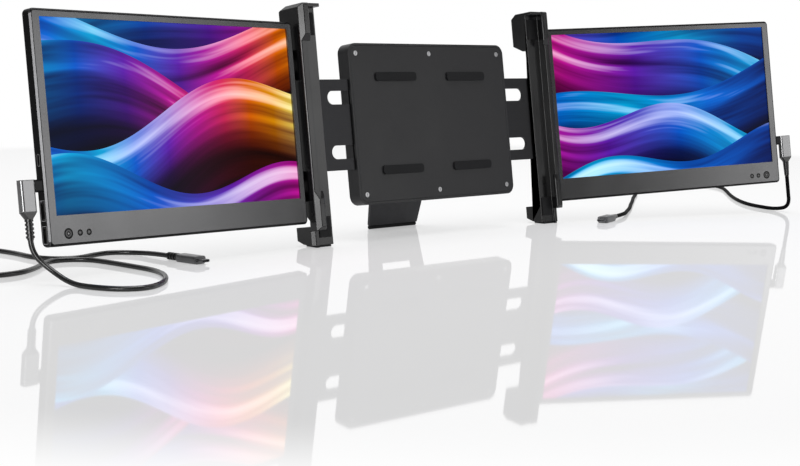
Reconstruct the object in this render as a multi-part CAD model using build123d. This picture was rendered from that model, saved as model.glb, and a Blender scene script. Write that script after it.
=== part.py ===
"""Laptop screen extender: two portable monitors hinged on a telescopic bracket that clips over a lid.

Everything is drawn in the bracket's own frame and leaned back at the end, as it stands on a desk.
Bracket frame, in millimetres: X to the right along the lid, Y from the lid's front face to the back,
Z up along the lid from the lid's hinge line.  The right side is drawn and the left side is its mirror.
"""

import math
import os

from build123d import *

os.makedirs("parts", exist_ok=True)

# ---------------------------------------------------------------- stance on the desk
LEAN = 8.15                    # degrees that the bracket leans back
LID_MIDDLE = (6.62, 1.07)      # where the lid's hinge line stands, so that the origin is under the middle
LEFT_TOE_IN = 7.26             # degrees that each monitor is turned towards the user
RIGHT_TOE_IN = 19.91

# ---------------------------------------------------------------- the lid that it holds
LID_HALF = 152.6               # half of the narrowest lid
LID_TOP = 201.5
LID_THICKNESS = 6.5
LID_PLAY = 0.6                 # room round the lid's edge

# ---------------------------------------------------------------- side grip frames
WALL_OUT = 160.0               # outer face of the side wall
GRIP_IN = 136.0                # inner end of the blocks behind the lid
HOOK_TIP = 150.0               # how far the claws reach over the screen side
CLAW_FRONT = -4.0
BAR_FRONT = -1.0
HOOK_BACK = -0.8
WALL_BACK = 14.0
BLOCK_BACK = 26.0
FOOT_FRONT = 5.0
FOOT_BACK = 27.0
FOOT_TOP = 13.2
HEEL = (19.0, -3.3)            # where the foot pad's sole ends, depth and height
SOLE_TURN_UP = 5.0             # height of the slanted underside behind the heel
UPPER_CLAW_REACH = 23.5        # from the lid's top edge down to the foot of the upper claw's face
UPPER_CLAW_SLOPE = 6.0         # height of the slope below that face
LOWER_CLAW = (12.5, 36.0)      # foot and top of the lower claw's face
LOWER_CLAW_SLOPE = 7.0
TOE_STEP = 3.0                 # from the foot's front face up to the lower claw
BLOCK_SLOPE = (5.0, 1.0)       # the upper block's underside, at the wall and at its back
CLAW_CHAMFER = 3.6
CAP = 3.0                      # lip over the lid's top edge
WEB = 3.0                      # plate behind the lid
PAD = 0.7                      # rubber on the claws
SOLE = 1.5                     # rubber under the feet

# ---------------------------------------------------------------- telescopic slides
SLIDE_TRAVEL = 45.0
SLIDE_PLATE = 2.0
SLIDE_LOW, SLIDE_HIGH = 60.0, 140.0
SLIDE_IN = 22.0
SLIDE_GAP = 0.2                # running clearance of a plate in its channel
SLIDE_CORNER = 3.0
WINDOW = (60.0, 12.0)          # the long windows that lighten a plate: length and height
WINDOW_RISE = 24.0             # from the plate's middle to a window's
WINDOW_INSET = 10.0            # from the block behind the lid
SLIDE_SCREW_INSET = 12.0
SPRING_TAB = (2.0, 8.0)        # thickness and height of the tab that the spring pulls

# ---------------------------------------------------------------- middle housing
HOUSING_HALF = 100.0
HOUSING_LOW, HOUSING_HIGH = 28.0, 172.0
HOUSING_BACK = 25.0
HOUSING_WALL = 2.2
HOUSING_CORNER = 9.0
FRONT_PLATE = 2.0
SEAM = 0.2                     # gap between parts that are fitted together
BOSS_R = 3.4
BOSS_INSET = 9.0               # from the housing's sides to its screws
LID_PAD = (50.0, 8.0)          # rubber strips on the front plate: length and height
LID_PAD_INSET = (20.0, 26.0)   # from the middle, and from the housing's ends
SPRING_R = 3.0
RAIL = 6.0                     # height of a guide rail above the slides
RAIL_HOOK, RAIL_WALL = 4.0, 2.4   # how far it reaches down behind the slides, and its thickness there

# ---------------------------------------------------------------- kickstand
STAND_DROP = 22.0              # from the housing's top down to the stand's pin
STAND_SWING = 19.15            # degrees that the stand opens, until its foot meets the desk
STAND_PLATE = 3.0
STAND_TOP_HALF, STAND_FOOT_HALF = 46.0, 31.0
BARREL_HALF = 27.0
BARREL_R = 3.1
STAND_PIN_R = 1.5
STAND_NECK, STAND_SHOULDER = 9.0, 6.0   # the narrow part below the pin, and where it widens
STAND_WINDOW = (24.0, 19.0, 30.0)   # its opening: half widths above and below, and inset
LUG = 6.0
STAND_FOOT_R = 1.9

# ---------------------------------------------------------------- monitors
ACTIVE_W, ACTIVE_H = 256.3, 144.2   # lit area of an 11.6 inch panel
BORDER_IN, BORDER_OUT, BORDER_TOP, CHIN = 7.0, 8.0, 6.0, 22.3
MONITOR_T = 10.0
MONITOR_LOW = 15.9             # height of its bottom edge
CASE_WALL = 1.8
CASE_CORNER = 4.0
CASE_CHAMFER = 1.3             # bright edge round the front
BEZEL_T = 1.6
PANEL_T = 2.6
PANEL_RIM = 0.8
BOARD = (71.5, 85.6)           # circuit board behind the ports: width and height
BOARD_T = 1.0
BOARD_RISE = 2.4               # above the monitor's bottom edge
BOARD_INSET = 5.0
POST = (12.0, 2.0)             # width and height of a post that holds the panel's back
POST_INSET = 30.0              # from the lit area's inner end to the first posts
POST_CLEAR = 20.0              # from the other posts to the board
VENTS, VENT_PITCH = 12, 8.0
VENT = (1.8, 16.0)             # width and height of a vent
VENT_DROP = 18.0               # from the monitor's top edge
SCREW_R = 1.2
SCREW_HEAD = (2.2, 1.2)        # radius and height

# ---------------------------------------------------------------- monitor hinges
HINGE_X, HINGE_Y = 167.3, 10.2
EDGE_TO_PIN = 3.0              # from the monitor's inner edge to the pin
FRONT_TO_PIN = 5.5             # from the monitor's face to the pin
KNUCKLE_R = 3.0
HINGE_PIN_R = 1.5
LEAF = 1.4
HINGE_LENGTH = 26.0
HINGE_HEIGHTS = (48.0, 152.0)
PIN_GAP = 0.05
END_GAP = 0.3

# ---------------------------------------------------------------- buttons, ports and plugs
BUTTON_HEIGHT = 8.9            # above the monitor's bottom edge
# Each button's place, from the lit area's outer end, and its radius.
BUTTONS = {"power_button": (9.3, 4.0), "menu_button": (19.8, 2.4), "select_button": (28.0, 2.4)}
BUTTON_GAP = 0.15
BUTTON_DEPTH = 3.0
BUTTON_TRAVEL = 0.4
SWITCH = (4.0, 1.2, 0.8)       # push switch: width, its plunger's radius and how far that stands out
USB_C = (8.94, 3.26)           # outside of a socket's metal shell, height and depth
HDMI = (15.0, 5.6)
USB_A = (13.1, 5.4)
SOCKET_DEPTH = 6.7
USB_C_HEIGHTS = (63.0, 44.7)   # the cable is in the lower one
HDMI_HEIGHT, USB_A_HEIGHT = 26.5, 8.9
PLUG_TIP = (8.25, 2.4)
PLUG_TIP_LENGTH = 5.8
NOSE = (9.2, 6.0, 6.3)         # black collar: height, depth, length
PLUG_BODY = (12.5, 6.4, 23.0)  # metal body: width, depth, length
TAPER = 5.0
BOOT = (3.1, 14.8)             # radius and length
BOOT_STEP = 0.7                # from a boot's rings down to its core
LEFT_RIBS, RIGHT_RIBS = 5, 0   # rings on the boots: the two cables are of different makes
CABLE_R = 2.0
FAR_BODY = (11.6, 6.4, 22.0)
FAR_BOOT = (3.1, 16.0)

# ---------------------------------------------------------------- values that follow from those
SLOT_BACK = LID_THICKNESS + LID_PLAY
WALL_IN = LID_HALF + LID_PLAY
GRIP_TOP = LID_TOP + CAP
SLIDE_FRONT = SLOT_BACK + WEB + SEAM
SLIDE_BACK = SLIDE_FRONT + SLIDE_PLATE
PLATE_FRONT = SLIDE_FRONT - SLIDE_GAP - FRONT_PLATE
HOUSING_FLOOR = HOUSING_BACK - HOUSING_WALL
UPPER_CLAW = LID_TOP - UPPER_CLAW_REACH
UPPER_CLAW_FOOT = UPPER_CLAW - UPPER_CLAW_SLOPE
LOWER_CLAW_TOP = LOWER_CLAW[1] + LOWER_CLAW_SLOPE
SIN_LEAN, COS_LEAN = math.sin(math.radians(LEAN)), math.cos(math.radians(LEAN))
DESK = HEEL[0] * SIN_LEAN - HEEL[1] * COS_LEAN
SLIDE_MIDDLE = (SLIDE_LOW + SLIDE_HIGH) / 2
SPRING_Y = SLIDE_BACK + 2.0 + SPRING_R
STAND_PIVOT = (HOUSING_BACK + BARREL_R + END_GAP, HOUSING_HIGH - STAND_DROP)
STAND_PIVOT_UP = DESK - STAND_PIVOT[0] * SIN_LEAN + STAND_PIVOT[1] * COS_LEAN
STAND_REACH = (STAND_PIVOT_UP - STAND_FOOT_R) / math.cos(math.radians(STAND_SWING - LEAN))
MONITOR_W = BORDER_IN + ACTIVE_W + BORDER_OUT
MONITOR_H = CHIN + ACTIVE_H + BORDER_TOP
EDGE_IN, EDGE_OUT = -EDGE_TO_PIN, MONITOR_W - EDGE_TO_PIN
FACE, BACK = -FRONT_TO_PIN, MONITOR_T - FRONT_TO_PIN
MID = (FACE + BACK) / 2
MONITOR_TOP = MONITOR_LOW + MONITOR_H
PANEL_BACK = FACE + BEZEL_T + PANEL_T
SOCKET_IN = EDGE_OUT - SOCKET_DEPTH - SEAM / 2
LYING = CABLE_R                # height of the cable's middle on the desk
PLUG_LYING = FAR_BODY[1] / 2
BOARD_IN = SOCKET_IN - BOARD[0]
BOARD_Y = MID + 1.4
BOARD_LOW = MONITOR_LOW + BOARD_RISE
BOARD_HIGH = BOARD_LOW + BOARD[1]


# ---------------------------------------------------------------- shared shapes
def block(x, y, z):
    """A box from its two ends along each axis."""
    centre = [(a + b) / 2 for a, b in (x, y, z)]
    return Pos(*centre) * Box(abs(x[1] - x[0]), abs(y[1] - y[0]), abs(z[1] - z[0]))


def slab(x, y, z, corner=0.0):
    """A plate facing the user, with rounded corners, from its two ends along each axis."""
    wide, high = x[1] - x[0], z[1] - z[0]
    flat = RectangleRounded(wide, high, corner) if corner else Rectangle(wide, high)
    flat = Plane.XZ.offset(-y[0]) * Pos((x[0] + x[1]) / 2, (z[0] + z[1]) / 2) * flat
    return extrude(flat, amount=y[0] - y[1])


def side_prism(points, x):
    """An outline of depths and heights, run along X."""
    return extrude(Plane.YZ.offset(x[0]) * make_face(Polyline(*points, close=True)), amount=x[1] - x[0])


def plan_prism(points, z):
    """An outline seen from above, run up Z."""
    return extrude(Plane.XY.offset(z[0]) * make_face(Polyline(*points, close=True)), amount=z[1] - z[0])


def rod_x(radius, x, y, z):
    return Pos((x[0] + x[1]) / 2, y, z) * Rot(0, 90, 0) * Cylinder(radius, x[1] - x[0])


def rod_y(radius, x, y, z):
    return Pos(x, (y[0] + y[1]) / 2, z) * Rot(90, 0, 0) * Cylinder(radius, y[1] - y[0])


def rod_z(radius, x, y, z):
    return Pos(x, y, (z[0] + z[1]) / 2) * Cylinder(radius, z[1] - z[0])


def screw(x, z, head_y, tip_y):
    """A pan head screw along Y, its head at head_y and its shank towards tip_y."""
    radius, height = SCREW_HEAD
    step = math.copysign(height, tip_y - head_y)
    top = rod_y(radius, x, sorted((head_y, head_y + step)), z)
    slot = block((x - 0.3, x + 0.3), sorted((head_y, head_y + step * 0.4)), (z - 1.4, z + 1.4))
    return top - slot + rod_y(SCREW_R, x, sorted((head_y + step, tip_y)), z)


# ---------------------------------------------------------------- side grip frame
def desk_height(depth, lift=0.0):
    """Height, in the bracket frame, of the desk's surface below a given depth."""
    return HEEL[1] - (HEEL[0] - depth) * math.tan(math.radians(LEAN)) + lift


def grip_outline():
    """The frame seen from the side: two claws, the slim bar between them, the deep blocks and the foot."""
    return [
        (CLAW_FRONT, GRIP_TOP - 1.5), (CLAW_FRONT, UPPER_CLAW),
        (BAR_FRONT, UPPER_CLAW_FOOT), (BAR_FRONT, LOWER_CLAW_TOP),
        (CLAW_FRONT, LOWER_CLAW[1]), (CLAW_FRONT, LOWER_CLAW[0]),
        (BAR_FRONT, LOWER_CLAW[0] - TOE_STEP), (FOOT_FRONT, LOWER_CLAW[0] - TOE_STEP),
        (FOOT_FRONT, desk_height(FOOT_FRONT, SOLE)), (HEEL[0], desk_height(HEEL[0], SOLE)),
        (FOOT_BACK, HEEL[1] + SOLE_TURN_UP), (FOOT_BACK, FOOT_TOP),
        (SLOT_BACK + 1.0, FOOT_TOP), (SLOT_BACK + 1.0, FOOT_TOP + 5.0),
        (WALL_BACK, FOOT_TOP + 11.0), (WALL_BACK, UPPER_CLAW_FOOT - BLOCK_SLOPE[0]),
        (BLOCK_BACK, UPPER_CLAW_FOOT + BLOCK_SLOPE[1]), (BLOCK_BACK, GRIP_TOP - 4.5),
        (BLOCK_BACK - 6.0, GRIP_TOP), (CLAW_FRONT + 1.5, GRIP_TOP),
    ]


def grip_frame():
    frame = side_prism(grip_outline(), (GRIP_IN, WALL_OUT))
    far = GRIP_IN - 1
    frame -= block((far, WALL_IN), (HOOK_BACK, SLOT_BACK), (-20, LID_TOP))
    frame -= block((far, HOOK_TIP), (CLAW_FRONT - 1, HOOK_BACK), (-20, GRIP_TOP + 1))
    frame -= block((far, WALL_IN), (CLAW_FRONT - 1, HOOK_BACK), (LOWER_CLAW_TOP, UPPER_CLAW_FOOT))
    web_back = SLOT_BACK + WEB
    frame -= block((far, WALL_IN), (web_back, WALL_BACK + 1), (FOOT_TOP, UPPER_CLAW_FOOT - BLOCK_SLOPE[0]))
    edge = (CLAW_FRONT - 1, WALL_OUT + 1)
    corner = [(edge[1], 1.0), (WALL_OUT, 0.0), (WALL_OUT - CLAW_CHAMFER, CLAW_FRONT),
              (WALL_OUT - CLAW_CHAMFER, edge[0]), (edge[1], edge[0])]
    frame -= plan_prism(corner, (-20, GRIP_TOP + 1))
    tip = [(HOOK_TIP - 1, HOOK_BACK - 1.6), (HOOK_TIP, HOOK_BACK - 1.6), (HOOK_TIP + 1.6, CLAW_FRONT),
           (HOOK_TIP + 1.6, edge[0]), (HOOK_TIP - 1, edge[0])]
    frame -= plan_prism(tip, (-20, GRIP_TOP + 1))
    roof = Plane.XZ.offset(-BLOCK_BACK - 1) * make_face(
        Polyline((WALL_OUT + 1, GRIP_TOP - CLAW_CHAMFER - 1), (WALL_OUT - CLAW_CHAMFER - 1, GRIP_TOP + 1),
                 (WALL_OUT + 1, GRIP_TOP + 1), close=True))
    frame -= extrude(roof, amount=BLOCK_BACK - CLAW_FRONT + 2)
    toe = [(WALL_OUT - 3.0, FOOT_FRONT), (WALL_OUT + 1, FOOT_FRONT + 4.0), (WALL_OUT + 1, FOOT_FRONT - 1),
           (WALL_OUT - 3.0, FOOT_FRONT - 1)]
    frame -= plan_prism(toe, (-20, LOWER_CLAW[0] - TOE_STEP))
    for z in bracket_screw_heights():
        frame -= rod_y(SCREW_R + PIN_GAP, bracket_screw_x(), (web_back - 2.4, web_back + 1), z)
    return frame


def bracket_screw_x():
    return (GRIP_IN + WALL_IN) / 2


def bracket_screw_heights():
    return (SLIDE_LOW + SLIDE_SCREW_INSET, SLIDE_MIDDLE, SLIDE_HIGH - SLIDE_SCREW_INSET)


def grip_pads():
    """Rubber strips on the claws and on the blocks behind them, where the lid bears."""
    claw = (HOOK_TIP + 0.4, WALL_IN - 0.3)
    back = (GRIP_IN + 2, WALL_IN - 2)
    return [
        block(claw, (HOOK_BACK, HOOK_BACK + PAD), (LOWER_CLAW[0] + 2, LOWER_CLAW[1] - 2)),
        block(claw, (HOOK_BACK, HOOK_BACK + PAD), (UPPER_CLAW + 2, LID_TOP - 2)),
        block(back, (SLOT_BACK - PAD, SLOT_BACK), (UPPER_CLAW, LID_TOP - 4)),
        block(back, (SLOT_BACK - PAD, SLOT_BACK), (FOOT_TOP - 10, FOOT_TOP + 8)),
    ]


def foot_pad():
    """A rubber sole, flat on the desk when the bracket leans back."""
    toe = FOOT_FRONT + 0.6
    outline = [(toe, desk_height(toe, SOLE)), (toe, desk_height(toe)), HEEL,
               (HEEL[0] + 1.0, HEEL[1] + SOLE * 0.7), (HEEL[0], desk_height(HEEL[0], SOLE))]
    sole = side_prism(outline, (GRIP_IN + 3.0, WALL_OUT - 3.5))
    return sole - block((0, WALL_IN), (-50, SLOT_BACK), (-30, 30))


# ---------------------------------------------------------------- slides and housing
def slide_plate():
    plate = slab((SLIDE_IN, WALL_IN - 1.0), (SLIDE_FRONT, SLIDE_BACK), (SLIDE_LOW, SLIDE_HIGH),
                 SLIDE_CORNER)
    end, half = GRIP_IN - WINDOW_INSET, WINDOW[1] / 2
    for z in (SLIDE_MIDDLE - WINDOW_RISE, SLIDE_MIDDLE + WINDOW_RISE):
        plate -= slab((end - WINDOW[0], end), (SLIDE_FRONT - 1, SLIDE_BACK + 1), (z - half, z + half),
                      half - 0.1)
    for z in bracket_screw_heights():
        plate -= rod_y(SCREW_R + PIN_GAP, bracket_screw_x(), (SLIDE_FRONT - 1, SLIDE_BACK + 1), z)
    tab = (spring_tab_x(), spring_tab_x() + SPRING_TAB[0])
    half = SPRING_TAB[1] / 2
    return plate + block(tab, (SLIDE_BACK, SPRING_Y + SPRING_R / 2),
                         (SLIDE_MIDDLE - half, SLIDE_MIDDLE + half))


def spring_tab_x():
    """The tab that the spring pulls stays inside the housing with the slide all the way out."""
    return HOUSING_HALF - HOUSING_WALL - SLIDE_TRAVEL - 3.0


def bracket_screws():
    return [screw(bracket_screw_x(), z, SLIDE_BACK + SCREW_HEAD[1], SLOT_BACK + WEB - 2.2)
            for z in bracket_screw_heights()]


def spring():
    """A close-wound extension spring, drawn as its outside, from the middle post to the slide's tab."""
    return rod_x(SPRING_R, (SPRING_R + 0.4, spring_tab_x() - 0.2), SPRING_Y, SLIDE_MIDDLE)


def housing_bosses():
    return [(x, z) for x in (-HOUSING_HALF + BOSS_INSET, 0, HOUSING_HALF - BOSS_INSET)
            for z in (HOUSING_LOW + BOSS_INSET, HOUSING_HIGH - BOSS_INSET)]


def rear_cover():
    half, low, high = HOUSING_HALF, HOUSING_LOW, HOUSING_HIGH
    wall = HOUSING_WALL
    cover = slab((-half, half), (PLATE_FRONT, HOUSING_BACK), (low, high), HOUSING_CORNER)
    rim = cover.edges().filter_by_position(Axis.Y, HOUSING_BACK - 0.01, HOUSING_BACK + 0.01)
    cover = chamfer(rim, 3.0)
    cover -= slab((-half + wall, half - wall), (PLATE_FRONT - 1, HOUSING_FLOOR), (low + wall, high - wall),
                  HOUSING_CORNER - wall)
    mouth_y = (SLIDE_FRONT - SLIDE_GAP, SLIDE_BACK + SLIDE_GAP)
    cover -= block((-half - 1, half + 1), mouth_y, (SLIDE_LOW - SLIDE_GAP, SLIDE_HIGH + SLIDE_GAP))
    for x, z in housing_bosses():
        cover += rod_y(BOSS_R, x, (SLIDE_FRONT - SLIDE_GAP, HOUSING_FLOOR + 0.5), z)
        cover -= rod_y(SCREW_R + PIN_GAP, x, (SLIDE_FRONT - SLIDE_GAP - 1, SLIDE_FRONT + 8), z)
    cover += rod_y(SPRING_R, 0, (SPRING_Y - SPRING_R, HOUSING_FLOOR + 0.5), SLIDE_MIDDLE)
    depth, height = STAND_PIVOT
    for side in (-1, 1):
        x = sorted((side * (BARREL_HALF + END_GAP), side * (BARREL_HALF + END_GAP + LUG)))
        lug = rod_x(BARREL_R + 0.5, x, depth, height)
        lug += block(x, (HOUSING_BACK - 1, depth), (height - BARREL_R - 0.5, height + BARREL_R + 3.0))
        cover += lug - rod_x(STAND_PIN_R + PIN_GAP, (x[0] - 1, x[1] + 1), depth, height)
    return cover


def front_plate():
    inner = HOUSING_HALF - HOUSING_WALL - SEAM
    rise = HOUSING_WALL + SEAM
    plate = slab((-inner, inner), (PLATE_FRONT, PLATE_FRONT + FRONT_PLATE),
                 (HOUSING_LOW + rise, HOUSING_HIGH - rise), HOUSING_CORNER - rise)
    for x, z in housing_bosses():
        plate -= rod_y(SCREW_HEAD[0] + SEAM, x, (PLATE_FRONT - 1, PLATE_FRONT + SCREW_HEAD[1] + 0.1), z)
        plate -= rod_y(SCREW_R + SEAM, x, (PLATE_FRONT, PLATE_FRONT + FRONT_PLATE + 1), z)
    return plate


def housing_screws():
    return [screw(x, z, PLATE_FRONT + 0.1, SLIDE_FRONT + 6) for x, z in housing_bosses()]


def lid_pads():
    """Four rubber strips on the housing, level with the pads of the side frames."""
    near, far = LID_PAD_INSET[0], LID_PAD_INSET[0] + LID_PAD[0]
    low, high = HOUSING_LOW + LID_PAD_INSET[1], HOUSING_HIGH - LID_PAD_INSET[1]
    rows = ((low, low + LID_PAD[1]), (high - LID_PAD[1], high))
    return [slab(x, (SLOT_BACK - PAD, PLATE_FRONT), z, LID_PAD[1] / 2 - 1)
            for x in ((-far, -near), (near, far)) for z in rows]


def guide_rail(upper):
    """An angle that traps the slides' edges against the front plate."""
    length = HOUSING_HALF - HOUSING_WALL - SEAM
    edge = SLIDE_HIGH + SLIDE_GAP
    front, back = SLIDE_FRONT - SLIDE_GAP, SLIDE_BACK + SLIDE_GAP
    outline = [(front, edge), (back, edge), (back, edge - RAIL_HOOK), (back + RAIL_WALL, edge - RAIL_HOOK),
               (back + RAIL_WALL, edge), (HOUSING_FLOOR - SEAM, edge), (HOUSING_FLOOR - SEAM, edge + RAIL),
               (front, edge + RAIL)]
    if not upper:
        outline = [(depth, 2 * SLIDE_MIDDLE - height) for depth, height in outline]
    return side_prism(outline, (-length, length))


# ---------------------------------------------------------------- kickstand
def stand_plate():
    """Drawn closed, hanging flat behind the housing from its pin."""
    depth, height = STAND_PIVOT
    end = height - STAND_REACH + STAND_FOOT_R
    neck = height - STAND_NECK
    shoulder = neck - STAND_SHOULDER
    outline = [(-BARREL_HALF, height), (-BARREL_HALF, neck), (-STAND_TOP_HALF, shoulder),
               (-STAND_FOOT_HALF, end), (STAND_FOOT_HALF, end), (STAND_TOP_HALF, shoulder),
               (BARREL_HALF, neck), (BARREL_HALF, height)]
    face = Plane.XZ.offset(-(depth - STAND_PLATE / 2)) * make_face(Polyline(*outline, close=True))
    plate = extrude(face, amount=-STAND_PLATE)
    above, below, inset = STAND_WINDOW
    window = [(-above, neck - inset), (-below, end + inset), (below, end + inset), (above, neck - inset)]
    cut = Plane.XZ.offset(-(depth - STAND_PLATE)) * make_face(Polyline(*window, close=True))
    plate -= extrude(cut, amount=-STAND_PLATE * 2)
    plate += rod_x(BARREL_R, (-BARREL_HALF, BARREL_HALF), depth, height)
    return plate - rod_x(STAND_PIN_R + PIN_GAP, (-BARREL_HALF - 1, BARREL_HALF + 1), depth, height)


def stand_foot():
    depth, height = STAND_PIVOT
    low = height - STAND_REACH
    half = STAND_FOOT_HALF - 1.0
    foot = rod_x(STAND_FOOT_R, (-half, half), depth, low)
    return foot - block((-half - 1, half + 1), (depth - 5, depth + 5), (low + STAND_FOOT_R, low + 5))


def stand_pin():
    half = BARREL_HALF + END_GAP + LUG
    depth, height = STAND_PIVOT
    pin = rod_x(STAND_PIN_R, (-half, half + 0.3), depth, height)
    return pin + rod_x(BARREL_R - 0.4, (half + 0.3, half + 1.5), depth, height)


# ---------------------------------------------------------------- monitor hinges
def hinge_spans(z):
    """Heights of the lower, middle and upper knuckle of a hinge whose middle is at z."""
    third = HINGE_LENGTH / 3
    low = z - HINGE_LENGTH / 2
    return [(low, low + third - END_GAP), (low + third, low + 2 * third),
            (low + 2 * third + END_GAP, low + HINGE_LENGTH)]


def frame_leaf(z):
    """Bracket frame: a plate on the side wall, and two knuckles carried on a web behind the pin."""
    span = (z - HINGE_LENGTH / 2, z + HINGE_LENGTH / 2)
    leaf = block((WALL_OUT, WALL_OUT + LEAF - 0.2), (HINGE_Y - KNUCKLE_R - 2.4, HINGE_Y + KNUCKLE_R), span)
    for low, high in (hinge_spans(z)[0], hinge_spans(z)[2]):
        leaf += block((WALL_OUT, HINGE_X), (HINGE_Y + KNUCKLE_R - LEAF, HINGE_Y + KNUCKLE_R), (low, high))
        leaf += rod_z(KNUCKLE_R, HINGE_X, HINGE_Y, (low, high))
    return leaf - rod_z(HINGE_PIN_R + PIN_GAP, HINGE_X, HINGE_Y, (span[0] - 1, span[1] + 1))


def monitor_leaf(z):
    """Monitor frame: the middle knuckle and the plate that lies against the inside of the case."""
    span = (z - HINGE_LENGTH / 2 - 5, z + HINGE_LENGTH / 2 + 5)
    low, high = hinge_spans(z)[1]
    back = BACK - CASE_WALL - SEAM / 2
    start = KNUCKLE_R + 1.0
    leaf = slab((start, start + 20), (back - LEAF, back), span, 2.0)
    leaf += block((0, start + 2), (back - LEAF, back), (low, high)) + rod_z(KNUCKLE_R, 0, 0, (low, high))
    return leaf - rod_z(HINGE_PIN_R + PIN_GAP, 0, 0, (span[0] - 1, span[1] + 1))


# ---------------------------------------------------------------- monitors, about the hinge pin
def board_screws_at():
    """Two along the board's inner edge, and one above its ports."""
    inner, outer = BOARD_IN + BOARD_INSET, SOCKET_IN - BOARD_INSET
    return [(inner, BOARD_LOW + 2 * BOARD_INSET), (inner, BOARD_HIGH - 4 * BOARD_INSET),
            (outer, BOARD_HIGH - BOARD_INSET)]


def rear_case():
    case = slab((EDGE_IN, EDGE_OUT), (FACE, BACK), (MONITOR_LOW, MONITOR_TOP), CASE_CORNER)
    case = chamfer(case.edges().filter_by_position(Axis.Y, FACE - 0.01, FACE + 0.01), CASE_CHAMFER)
    case = fillet(case.edges().filter_by_position(Axis.Y, BACK - 0.01, BACK + 0.01), 2.0)
    case -= slab((EDGE_IN + CASE_WALL, EDGE_OUT - CASE_WALL), (FACE - 1, BACK - CASE_WALL),
                 (MONITOR_LOW + CASE_WALL, MONITOR_TOP - CASE_WALL), CASE_CORNER - CASE_WALL)
    half = HINGE_LENGTH / 2 + 0.6
    for z in HINGE_HEIGHTS:
        case -= block((EDGE_IN - 1, KNUCKLE_R + 0.6), (FACE + 1.9, BACK + 1), (z - half, z + half))
    for size, height in sockets_at():
        case -= port_hole(size, height)
    for row in range(VENTS):
        x = EDGE_IN + MONITOR_W / 2 + (row - (VENTS - 1) / 2) * VENT_PITCH
        case -= block((x - VENT[0] / 2, x + VENT[0] / 2), (BACK - CASE_WALL - 1, BACK + 1),
                      (MONITOR_TOP - VENT_DROP - VENT[1], MONITOR_TOP - VENT_DROP))
    for x, z in board_screws_at():
        case += rod_y(2.4, x, (BOARD_Y + BOARD_T, BACK - CASE_WALL + 0.2), z)
        case -= rod_y(0.9, x, (BOARD_Y, BOARD_Y + BOARD_T + 1.3), z)
    x, z = active_area()
    for across in (x[0] + POST_INSET, BOARD_IN - POST_CLEAR):
        for height in (z[0] + 8, z[1] - 8):
            case += block((across - POST[0] / 2, across + POST[0] / 2),
                          (PANEL_BACK, BACK - CASE_WALL + 0.2),
                          (height - POST[1] / 2, height + POST[1] / 2))
    return case


def sockets_at():
    return [(USB_C, USB_C_HEIGHTS[0]), (USB_C, USB_C_HEIGHTS[1]),
            (HDMI, HDMI_HEIGHT), (USB_A, USB_A_HEIGHT)]


def port_hole(size, height):
    gap = SEAM / 2
    outline = Pos(MID, MONITOR_LOW + height) * Rectangle(size[1] + 2 * gap, size[0] + 2 * gap)
    return extrude(Plane.YZ.offset(EDGE_OUT - CASE_WALL - 1) * outline, amount=CASE_WALL + 2)


def front_bezel():
    rise = CASE_WALL + SEAM / 2
    bezel = slab((EDGE_IN + rise, EDGE_OUT - rise), (FACE, FACE + BEZEL_T),
                 (MONITOR_LOW + rise, MONITOR_TOP - rise), CASE_CORNER - rise)
    x, z = active_area()
    bezel -= slab(x, (FACE - 1, FACE + BEZEL_T + 1), z)
    for inset, radius in BUTTONS.values():
        bezel -= rod_y(radius, x[1] - inset, (FACE - 1, FACE + BEZEL_T + 1), MONITOR_LOW + BUTTON_HEIGHT)
    return bezel


def active_area():
    low = MONITOR_LOW + CHIN
    return (EDGE_IN + BORDER_IN, EDGE_IN + BORDER_IN + ACTIVE_W), (low, low + ACTIVE_H)


def display_panel():
    x, z = active_area()
    rim = PANEL_RIM
    return slab((x[0] - rim, x[1] + rim), (FACE + BEZEL_T, PANEL_BACK), (z[0] - 5.0, z[1] + rim))


def main_board():
    """Circuit board with the three push switches that the buttons press."""
    board = slab((BOARD_IN, SOCKET_IN), (BOARD_Y, BOARD_Y + BOARD_T), (BOARD_LOW, BOARD_HIGH))
    x, _ = active_area()
    switch_front = FACE + BUTTON_DEPTH + BUTTON_TRAVEL + 0.1
    width, plunger, reach = SWITCH
    for inset, _ in BUTTONS.values():
        middle, height = x[1] - inset, MONITOR_LOW + BUTTON_HEIGHT
        board += block((middle - width / 2, middle + width / 2), (switch_front + reach, BOARD_Y),
                       (height - width / 2, height + width / 2))
        board += rod_y(plunger, middle, (switch_front, switch_front + reach + 0.1), height)
    for x, z in board_screws_at():
        board -= rod_y(SCREW_R, x, (BOARD_Y - 1, BOARD_Y + BOARD_T + 1), z)
    return board


def board_screws():
    tip = BOARD_Y + BOARD_T + 1.2
    return [rod_y(2.0, x, (BOARD_Y - 0.9, BOARD_Y), z) + rod_y(0.85, x, (BOARD_Y, tip), z)
            for x, z in board_screws_at()]


def button(name):
    inset, radius = BUTTONS[name]
    x, _ = active_area()
    z = MONITOR_LOW + BUTTON_HEIGHT
    cap = rod_y(radius - BUTTON_GAP, x[1] - inset, (FACE, FACE + BUTTON_DEPTH), z)
    top = cap.edges().filter_by_position(Axis.Y, FACE - 0.01, FACE + 0.01)
    return chamfer(top, 0.4)


def socket(size, height, tongue, corner):
    """A metal socket open to the outside, with its contact tongue, on the monitor's outer edge."""
    z = MONITOR_LOW + height
    plane = Plane.YZ.offset(SOCKET_IN)
    place = Pos(MID, z)
    shell = extrude(plane * place * RectangleRounded(size[1], size[0], corner), amount=SOCKET_DEPTH)
    inside = place * RectangleRounded(size[1] - 0.6, size[0] - 0.6, max(corner - 0.3, 0.2))
    shell -= extrude(plane.offset(0.5) * inside, amount=SOCKET_DEPTH)
    return shell + extrude(plane.offset(0.3) * place * Rectangle(tongue[1], tongue[0]), amount=tongue[2])


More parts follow.
